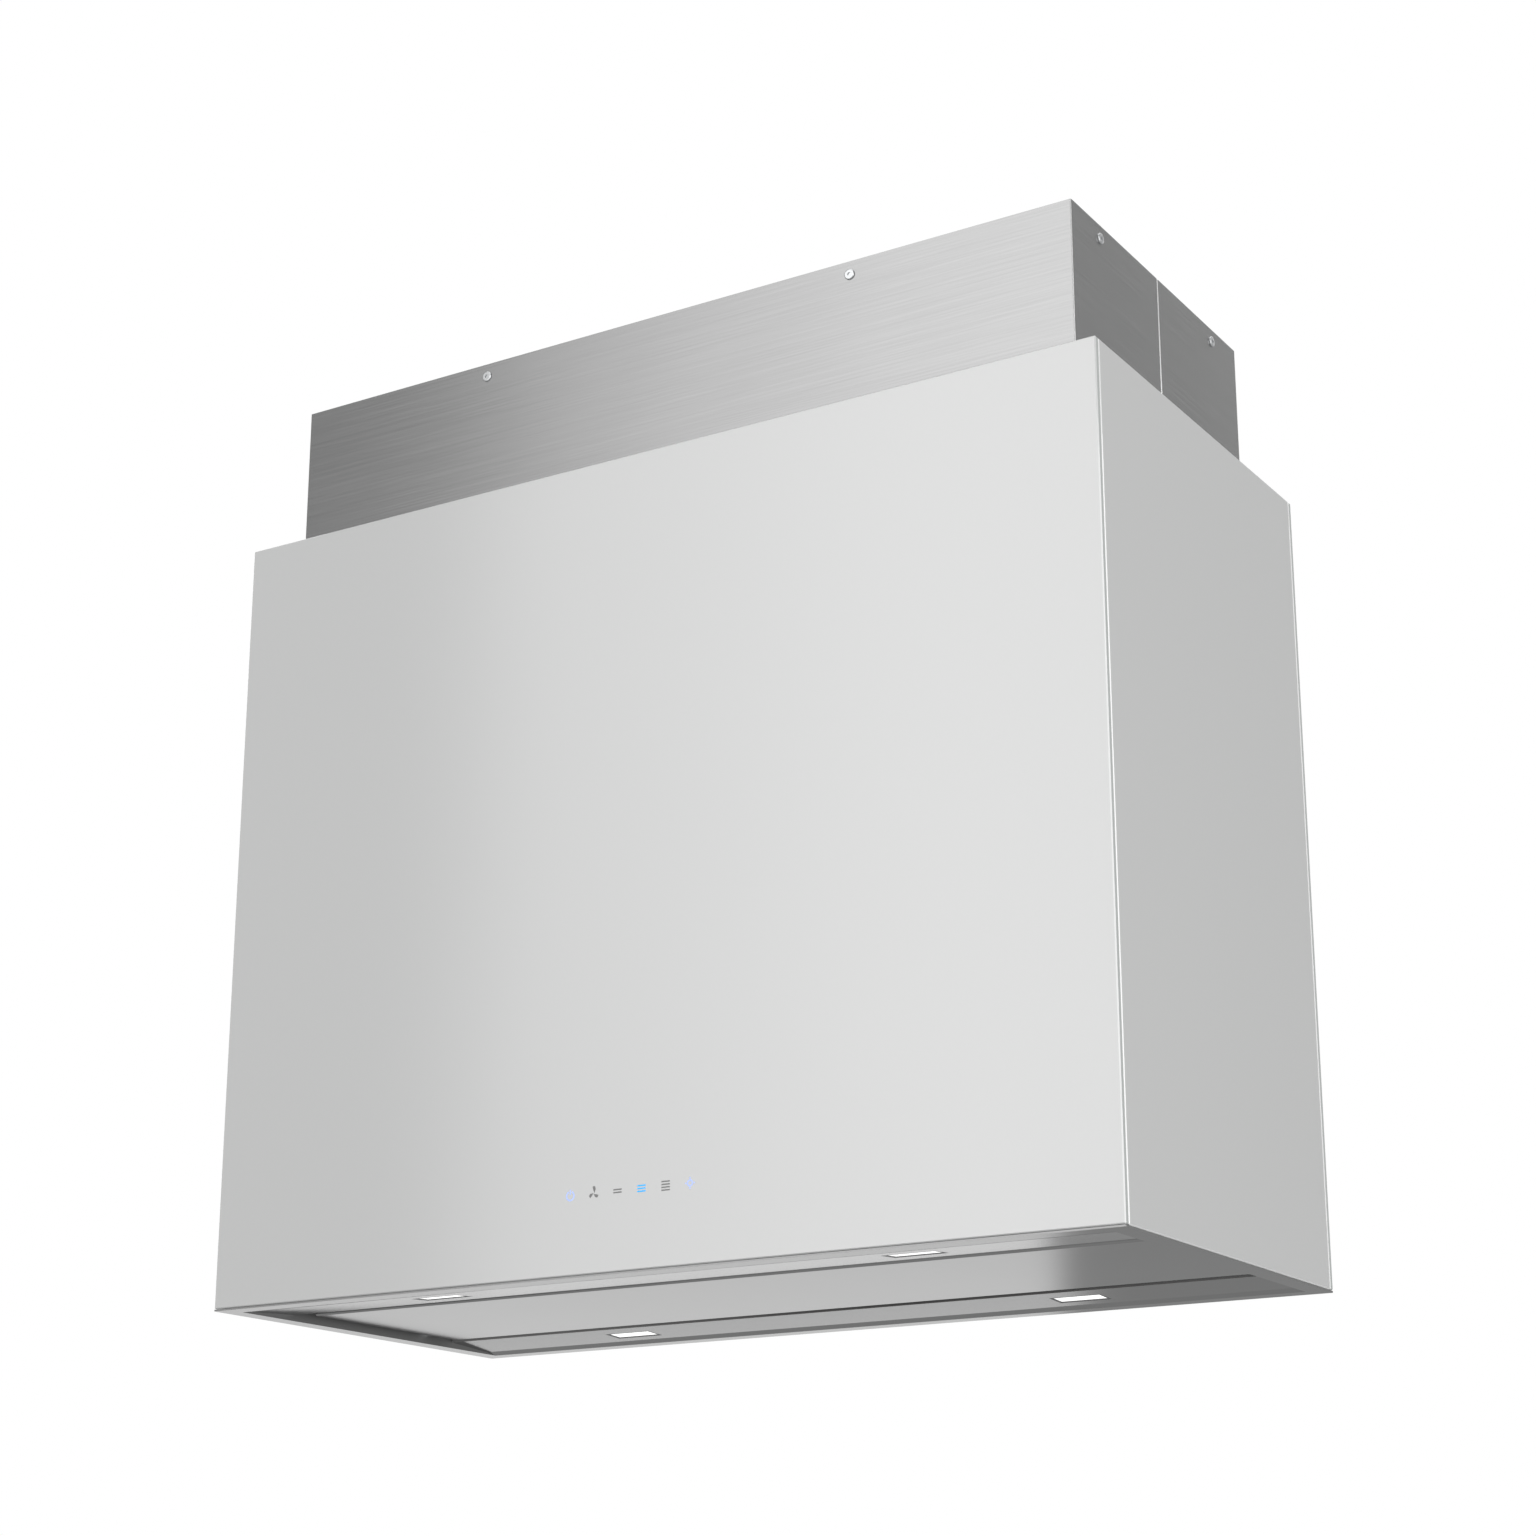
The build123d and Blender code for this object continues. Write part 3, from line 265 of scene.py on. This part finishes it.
def white_glass(name, thickness_axis, chamfer_highlight):
    """Glass painted white on its back. Its ground edges are darker and faintly green. Its chamfers take
    a lighter tone as a painted highlight.
    """
    recipe = Recipe(name)
    grain = recipe.noise(EVEN, size=420.0, detail=2.0)
    paint = recipe.between(recipe.span(grain, low=0.35, high=0.65), rgb(*GLASS_DARK), rgb(*GLASS_LIGHT))
    across = facing_parts(recipe)[thickness_axis]
    edge = recipe.math("LESS_THAN", across, EDGE_FACING)
    off_face = recipe.math("LESS_THAN", across, FACE_FACING)
    off_edge = recipe.math("GREATER_THAN", across, EDGE_FACING)
    tinted = recipe.between(edge, paint, rgb(*GLASS_EDGE))
    colour = recipe.between(recipe.math("MULTIPLY", off_face, off_edge), tinted, rgb(*chamfer_highlight))
    recipe.set(Base_Color=colour, Roughness=recipe.span(grain, *GLASS_GLOSS))
    recipe.set(IOR=GLASS_IOR, Specular_IOR_Level=1.0)
    waviness = recipe.noise(EVEN, size=9.0, detail=1.0)
    recipe.bump(waviness, distance=0.00012, strength=0.35)
    return recipe.material


def brushed_steel(name, brush, tangent_axis, gloss, grazing, edges):
    """Stainless sheet with fine parallel brush lines.

    brush scales the grain along each axis, and grazing tints the gloss at flat angles. edges is a
    function from the recipe to the factor, tone and added roughness of the sheet's cut or bent edges."""
    recipe = Recipe(name)
    lines = recipe.noise(brush, size=1.0, detail=5.0, roughness=0.65)
    broad = recipe.noise(EVEN, size=5.0, detail=2.0)
    tone = recipe.weigh(lines, broad, LINE_SHARE)
    face = recipe.between(recipe.span(tone, low=0.0, high=1.0), rgb(*STEEL_DARK), rgb(*STEEL_LIGHT))
    # This edge tone is a painted highlight on the sheath's seam and a painted shade on the suction
    # panel.
    factor, edge_tone, added = edges(recipe)
    colour = recipe.between(factor, face, rgb(edge_tone, edge_tone, edge_tone))
    rougher = recipe.math("MULTIPLY", factor, added)
    roughness = recipe.math("ADD", recipe.span(lines, *gloss), rougher)
    recipe.set(Base_Color=colour, Metallic=1.0, Roughness=roughness)
    recipe.set(Anisotropic=BRUSH_SPREAD, Specular_Tint=rgb(grazing, grazing, grazing))
    tangent = recipe.node("ShaderNodeTangent", {"direction_type": "RADIAL", "axis": tangent_axis})
    recipe.set(Tangent=tangent.outputs[0])
    recipe.bump(lines, distance=0.00002, strength=0.5)
    return recipe.material


def seam_painted_highlight(recipe):
    """Chamfers along the sheath's upright seam, given a near-white tone as a painted highlight."""
    across, along, _ = facing_parts(recipe)
    factor = recipe.math("GREATER_THAN", recipe.math("MINIMUM", across, along), SEAM_FACING)
    return factor, SEAM_HIGHLIGHT_TONE, SEAM_ROUGHER


def upright_edges(tone, added):
    """Upright faces of a flat sheet: its bent flanges and cut edges, given their own tone and added
    roughness. On the suction panel that tone is a painted shade.
    """

    def edges(recipe):
        return recipe.math("LESS_THAN", facing_parts(recipe)[Z_AXIS], EDGE_FACING), tone, added

    return edges


def galvanised_steel():
    """Zinc coated sheet with a faint spangle."""
    recipe = Recipe("galvanised_steel")
    cells = recipe.node("ShaderNodeTexVoronoi", {"feature": "F1"}, Scale=90.0, Randomness=1.0)
    recipe.feed(cells.inputs["Vector"], recipe.place(EVEN))
    shade = recipe.node("ShaderNodeSeparateColor")
    recipe.feed(shade.inputs[0], cells.outputs["Color"])
    spangle = shade.outputs[0]
    grime = recipe.noise(EVEN, size=14.0)
    tone = recipe.weigh(spangle, grime, SPANGLE_SHARE)
    colour = recipe.between(tone, rgb(*ZINC_DARK), rgb(*ZINC_LIGHT))
    recipe.set(Base_Color=colour, Metallic=0.9, Roughness=recipe.span(spangle, low=0.34, high=0.52))
    recipe.bump(grime, distance=0.00006, strength=0.3)
    return recipe.material


def plain_metal(name, dark, light, low, high, grain):
    """Turned, plated or cast metal: colour, roughness and bump from one fine grain."""
    recipe = Recipe(name)
    texture = recipe.noise(EVEN, size=grain)
    recipe.set(Base_Color=recipe.between(texture, rgb(*dark), rgb(*light)), Metallic=1.0)
    recipe.set(Roughness=recipe.span(texture, low, high))
    recipe.bump(texture, distance=0.00005, strength=0.5)
    return recipe.material


def moulded_plastic(name, dark, light, low, high):
    """Plastic with a fine spark-eroded texture."""
    recipe = Recipe(name)
    texture = recipe.noise(EVEN, size=900.0, detail=3.0)
    flow = recipe.noise(EVEN, size=18.0, detail=2.0)
    recipe.set(Base_Color=recipe.between(flow, rgb(*dark), rgb(*light)))
    recipe.set(Roughness=recipe.span(texture, low, high))
    recipe.bump(texture, distance=0.00008, strength=0.6)
    return recipe.material


def lamp_diffuser():
    """Frosted, lit lens with the fine grain of its frosting."""
    recipe = Recipe("lamp_lens")
    frost = recipe.noise(EVEN, size=1500.0)
    tone = recipe.between(frost, rgb(*LENS_DARK), rgb(*LENS_LIGHT))
    recipe.set(Base_Color=tone, Emission_Color=tone, Emission_Strength=LENS_GLOW)
    recipe.set(Roughness=recipe.span(frost, low=0.35, high=0.55))
    recipe.bump(frost, distance=0.00005, strength=0.4)
    return recipe.material


def foam():
    """Closed-cell foam tape."""
    recipe = Recipe("foam_tape")
    cells = recipe.node("ShaderNodeTexVoronoi", {"feature": "F1"}, Scale=1400.0)
    recipe.feed(cells.inputs["Vector"], recipe.place(EVEN))
    depth = cells.outputs["Distance"]
    recipe.set(Base_Color=recipe.between(depth, rgb(*FOAM_DARK), rgb(*FOAM_LIGHT)))
    recipe.set(Roughness=recipe.span(depth, low=0.8, high=0.95))
    recipe.bump(depth, distance=0.0002, strength=0.8)
    return recipe.material


def circuit_board():
    """Lacquered board with a grid of tracks."""
    recipe = Recipe("circuit_board")
    tracks = recipe.node("ShaderNodeTexBrick", Scale=260.0, Mortar_Size=0.035)
    for socket, tone in (("Color1", BOARD_DARK), ("Color2", BOARD_LIGHT), ("Mortar", BOARD_TRACK)):
        tracks.inputs[socket].default_value = rgb(*tone)
    turned = recipe.node("ShaderNodeMapping", Rotation=(math.pi / 2, 0, 0))
    recipe.feed(turned.inputs["Vector"], recipe.place(EVEN))
    recipe.feed(tracks.inputs["Vector"], turned.outputs["Vector"])
    relief = tracks.outputs["Fac"]
    recipe.set(Base_Color=tracks.outputs["Color"], Roughness=recipe.span(relief, low=0.25, high=0.4))
    recipe.bump(relief, distance=0.00006, strength=0.5)
    return recipe.material


def symbol_light(name, tone, glow):
    """Printed touch symbol, lit from behind, with the grain of the print."""
    recipe = Recipe(name)
    grain = recipe.noise(EVEN, size=2500.0)
    dimmer = [channel * SYMBOL_DIMMER for channel in tone]
    colour = recipe.between(grain, rgb(*dimmer), rgb(*tone))
    recipe.set(Base_Color=colour, Emission_Color=colour, Emission_Strength=glow)
    recipe.set(Roughness=recipe.span(grain, low=0.25, high=0.35))
    return recipe.material


# ---------------------------------------------------------------- materials on the CAD nodes
def flat_sheet(name, edges):
    """Brushed sheet that lies flat, with its brush lines along X."""
    return brushed_steel(name, FLAT_BRUSH, "Y", UNDERSIDE_GLOSS, FLAT_GRAZING, upright_edges(*edges))


def slot_materials():
    """A material for each of the record's slots but the glass."""
    made = {name: plain_metal(name, *looks) for name, looks in METALS.items()}
    for name, looks in PLASTICS.items():
        made[name] = moulded_plastic(name, *looks)
    made["galvanised_steel"] = galvanised_steel()
    made["lamp_lens"] = lamp_diffuser()
    made["foam_tape"] = foam()
    made["circuit_board"] = circuit_board()
    made["brushed_stainless"] = flat_sheet("brushed_underside", UNDERSIDE_EDGES)
    return made


def node_materials():
    """The nodes whose material depends on the way they face or are cut."""
    front_glass = white_glass("white_glass_front_rear", Y_AXIS, FRONT_CHAMFER_HIGHLIGHT)
    side_glass = white_glass("white_glass_sides", X_AXIS, SIDE_CHAMFER_HIGHLIGHT)
    sheath = brushed_steel("brushed_sheath", SHEATH_BRUSH, "Z", SHEATH_GLOSS, SHEATH_GRAZING, seam_painted_highlight)
    return {
        "front_glass": front_glass,
        "rear_glass": front_glass,
        "right_glass": side_glass,
        "left_glass": side_glass,
        "chimney_front_half": sheath,
        "chimney_rear_half": sheath,
        "suction_panel": flat_sheet("brushed_panel", PANEL_EDGE_SHADE),
    }


def paint_nodes(materials):
    """Gives each CAD node its own material, or else its slot's."""
    own = node_materials()
    for entry in frame["record"]["subparts"]:
        node = entry["node"]
        data = NODES[node].data
        data.materials.clear()
        data.materials.append(own.get(node) or materials[entry["material_slot"]])


# ---------------------------------------------------------------- pieces made here
def new_piece(name, build, material, body):
    """A mesh piece built by a bmesh function, riding on a CAD body."""
    mesh = bpy.data.meshes.new(name)
    bm = bmesh.new()
    build(bm)
    bmesh.ops.recalc_face_normals(bm, faces=bm.faces)
    bm.to_mesh(mesh)
    bm.free()
    piece = bpy.data.objects.new(name, mesh)
    bpy.context.scene.collection.objects.link(piece)
    mesh.materials.append(material)
    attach(piece, body)
    return piece


def add_prism(bm, outline, low_y, high_y):
    """A closed prism of an XZ outline between two Y planes."""
    near = [bm.verts.new((x, low_y, z)) for x, z in outline]
    far = [bm.verts.new((x, high_y, z)) for x, z in outline]
    bm.faces.new(near)
    bm.faces.new(far[::-1])
    count = len(outline)
    for i in range(count):
        j = (i + 1) % count
        bm.faces.new((near[i], far[i], far[j], near[j]))


def bar_outline(x, z, half_x, half_z):
    left, right = x - half_x, x + half_x
    low, high = z - half_z, z + half_z
    return [(left, low), (right, low), (right, high), (left, high)]


def arc_band(radius, width, start, sweep, steps=20):
    """Outline of a ring or a stretch of one, round the origin."""
    angles = [start + sweep * i / steps for i in range(steps + 1)]
    outer = [(radius * math.cos(a), radius * math.sin(a)) for a in angles]
    inner_r = radius - width
    inner = [(inner_r * math.cos(a), inner_r * math.sin(a)) for a in reversed(angles)]
    return outer + inner


def bars(count):
    """Level symbol: a stack of bars."""
    offsets = [(i - (count - 1) / 2) * BAR_PITCH for i in range(count)]
    return [bar_outline(0.0, z, BAR_HALF_W, BAR_HALF_H) for z in offsets]


def power_symbol():
    """Open ring with a short bar in its gap."""
    ring = arc_band(POWER_R, POWER_LINE, math.radians(POWER_START), math.radians(POWER_SWEEP))
    return [ring, bar_outline(0.0, POWER_BAR_RISE, POWER_BAR_HALF_W, POWER_BAR_HALF_H)]


def fan_symbol():
    """Three blades that widen from the hub, the upper one longest."""
    shapes = []
    for turn, reach in BLADES:
        cos, sin = math.cos(math.radians(turn)), math.sin(math.radians(turn))
        profile = [(share * reach, side) for share, side in BLADE_SHAPE]
        shapes.append([(u * cos - v * sin, u * sin + v * cos) for u, v in profile])
    return shapes


def light_symbol():
    """Ring with four short rays."""
    shapes = [arc_band(LIGHT_R, LIGHT_LINE, 0.0, math.tau - RING_GAP, steps=LIGHT_STEPS)]
    for reach in (RAY_REACH, -RAY_REACH):
        shapes.append(bar_outline(0.0, reach, RAY_HALF_W, RAY_HALF_L))
    for reach in (RAY_REACH, -RAY_REACH):
        shapes.append(bar_outline(reach, 0.0, RAY_HALF_L, RAY_HALF_W))
    return shapes


def touch_symbols():
    """Six generic symbols, each a film a hair proud of the front glass."""
    face_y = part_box("front_glass")[0].y - SYMBOL_PROUD
    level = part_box("bottom_rim")[0].z + SYMBOL_RISE
    grey = symbol_light("symbol_grey", *GREY_LIGHT)
    pale = symbol_light("symbol_pale_blue", *PALE_LIGHT)
    cyan = symbol_light("symbol_cyan", *CYAN_LIGHT)
    symbols = [
        ("symbol_power", power_symbol(), pale),
        ("symbol_fan", fan_symbol(), grey),
        ("symbol_speed_low", bars(2), grey),
        ("symbol_speed_mid", bars(3), cyan),
        ("symbol_speed_high", bars(4), grey),
        ("symbol_light", light_symbol(), pale),
    ]
    for x, (name, outlines, material) in zip(SYMBOL_XS, symbols):
        shapes = [[(px + x, pz + level) for px, pz in outline] for outline in outlines]

        def build(bm, shapes=shapes):
            for outline in shapes:
                add_prism(bm, outline, face_y, face_y + SYMBOL_T)

        new_piece(name, build, material, "hood_body")


def add_strand(bm, start, end, z, half):
    """A flat square bar between two points of the mesh plane."""
    along = (Vector(end) - Vector(start)).normalized()
    side = Vector((-along.y, along.x)) * half
    corners = [Vector(start) - side, Vector(end) - side, Vector(end) + side, Vector(start) + side]
    low = [bm.verts.new((c.x, c.y, z - half)) for c in corners]
    high = [bm.verts.new((c.x, c.y, z + half)) for c in corners]
    bm.faces.new(low[::-1])
    bm.faces.new(high)
    for i in range(4):
        j = (i + 1) % 4
        bm.faces.new((low[i], low[j], high[j], high[i]))


def expanded_layer(bm, low, high, z):
    """Diamond lattice between two corners of a rectangle."""
    columns = int((high.x - low.x) / MESH_PITCH_X)
    rows = int((high.y - low.y) / MESH_PITCH_Y)
    for i in range(columns):
        for j in range(rows):
            x = low.x + i * MESH_PITCH_X
            y = low.y + j * MESH_PITCH_Y
            middle = (x + MESH_PITCH_X / 2, y + MESH_PITCH_Y / 2)
            for corner in ((x, y), (x + MESH_PITCH_X, y + MESH_PITCH_Y)):
                add_strand(bm, corner, middle, z, MESH_STRAND / 2)
            for corner in ((x + MESH_PITCH_X, y), (x, y + MESH_PITCH_Y)):
                add_strand(bm, corner, middle, z, MESH_STRAND / 2)


def filter_meshes(material):
    """Expanded aluminium in layers, in place of each filter's plain pack."""
    for side in ("right", "left"):
        node = "filter_mesh_" + side
        low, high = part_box(node)
        low = low + Vector((MESH_STRAND, MESH_STRAND, 0))
        high = high - Vector((MESH_STRAND, MESH_STRAND, 0))
        levels = [low.z + MESH_STRAND, (low.z + high.z) / 2, high.z - MESH_STRAND]

        def build(bm, low=low, high=high, levels=levels):
            for z in levels:
                expanded_layer(bm, low, high, z)

        piece = new_piece("filter_expanded_" + side, build, material, "hood_body")
        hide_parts(node)


# ---------------------------------------------------------------- studio and camera
def make_camera():
    data = bpy.data.cameras.new("camera")
    data.lens = LENS_MM
    data.sensor_width = SENSOR_MM
    data.shift_y = SHIFT_UP
    data.clip_end = CLIP_END
    camera = bpy.data.objects.new("camera", data)
    bpy.context.scene.collection.objects.link(camera)
    camera.location = CAMERA_PLACE
    camera.rotation_euler = (math.radians(90 + CAMERA_PITCH), 0, math.radians(CAMERA_YAW))
    bpy.context.scene.camera = camera


def make_world():
    """White where the camera sees past the object, and a softer grey as light."""
    world = bpy.data.worlds.new("studio")
    world.use_nodes = True
    bpy.context.scene.world = world
    nodes = world.node_tree.nodes
    links = world.node_tree.links
    seen = nodes["Background"]
    seen.inputs["Color"].default_value = rgb(1, 1, 1)
    seen.inputs["Strength"].default_value = WORLD_SEEN
    light = nodes.new("ShaderNodeBackground")
    light.inputs["Color"].default_value = rgb(*WORLD_TINT)
    light.inputs["Strength"].default_value = WORLD_LIGHT
    rays = nodes.new("ShaderNodeLightPath")
    mix = nodes.new("ShaderNodeMixShader")
    links.new(rays.outputs["Is Camera Ray"], mix.inputs[0])
    links.new(light.outputs[0], mix.inputs[1])
    links.new(seen.outputs[0], mix.inputs[2])
    links.new(mix.outputs[0], nodes["World Output"].inputs["Surface"])


def link_mesh(name, corners):
    """A one-face stage object."""
    mesh = bpy.data.meshes.new(name)
    mesh.from_pydata(corners, [], [tuple(range(len(corners)))])
    made = bpy.data.objects.new(name, mesh)
    bpy.context.scene.collection.objects.link(made)
    return made


def soft_card(name, start, end, levels, rises):
    """A glowing upright wall between two plan points, which lights the object and shows in its gloss.

    It starts as bright as the world, and each rise adds to that over a stretch of its length."""
    low, high = levels
    corners = [(*start, low), (*end, low), (*end, high), (*start, high)]
    card = link_mesh(name, corners)
    card.visible_camera = False
    card.visible_shadow = False
    material = bpy.data.materials.new(name)
    material.use_nodes = True
    tree = material.node_tree
    tree.nodes.clear()
    run = (Vector(end) - Vector(start)).normalized()
    first = run.dot(Vector(start))
    place = tree.nodes.new("ShaderNodeTexCoord")
    along = tree.nodes.new("ShaderNodeVectorMath")
    along.operation = "DOT_PRODUCT"
    along.inputs[1].default_value = (run.x, run.y, 0.0)
    tree.links.new(place.outputs["Object"], along.inputs[0])
    glow = None
    for low_end, high_end, gain in rises:
        rise = tree.nodes.new("ShaderNodeMapRange")
        rise.interpolation_type = "SMOOTHSTEP"
        rise.inputs["From Min"].default_value = first + low_end
        rise.inputs["From Max"].default_value = first + high_end
        rise.inputs["To Max"].default_value = gain
        tree.links.new(along.outputs["Value"], rise.inputs["Value"])
        total = tree.nodes.new("ShaderNodeMath")
        total.inputs[1].default_value = WORLD_LIGHT
        tree.links.new(rise.outputs["Result"], total.inputs[0])
        if glow:
            tree.links.new(glow, total.inputs[1])
        glow = total.outputs[0]
    light = tree.nodes.new("ShaderNodeEmission")
    output = tree.nodes.new("ShaderNodeOutputMaterial")
    tree.links.new(glow, light.inputs["Strength"])
    tree.links.new(light.outputs[0], output.inputs["Surface"])
    card.data.materials.append(material)


def soft_sun(name, strength, tilt, turn):
    """Very soft distant light."""
    data = bpy.data.lights.new(name, "SUN")
    data.energy = strength
    data.angle = math.radians(SUN_WIDTH)
    light = bpy.data.objects.new(name, data)
    light.rotation_euler = (math.radians(tilt), 0, math.radians(turn))
    bpy.context.scene.collection.objects.link(light)


def make_studio():
    make_world()
    for name, (strength, tilt, turn) in SUNS.items():
        soft_sun(name, strength, tilt, turn)
    for name, (start, end, levels, rises) in CARDS.items():
        soft_card(name, start, end, levels, rises)
    scene = bpy.context.scene
    scene.view_settings.view_transform = "Standard"
    scene.view_settings.look = "None"


make_camera()
make_studio()
MATERIALS = slot_materials()
paint_nodes(MATERIALS)
touch_symbols()
filter_meshes(MATERIALS["mesh_aluminium"])
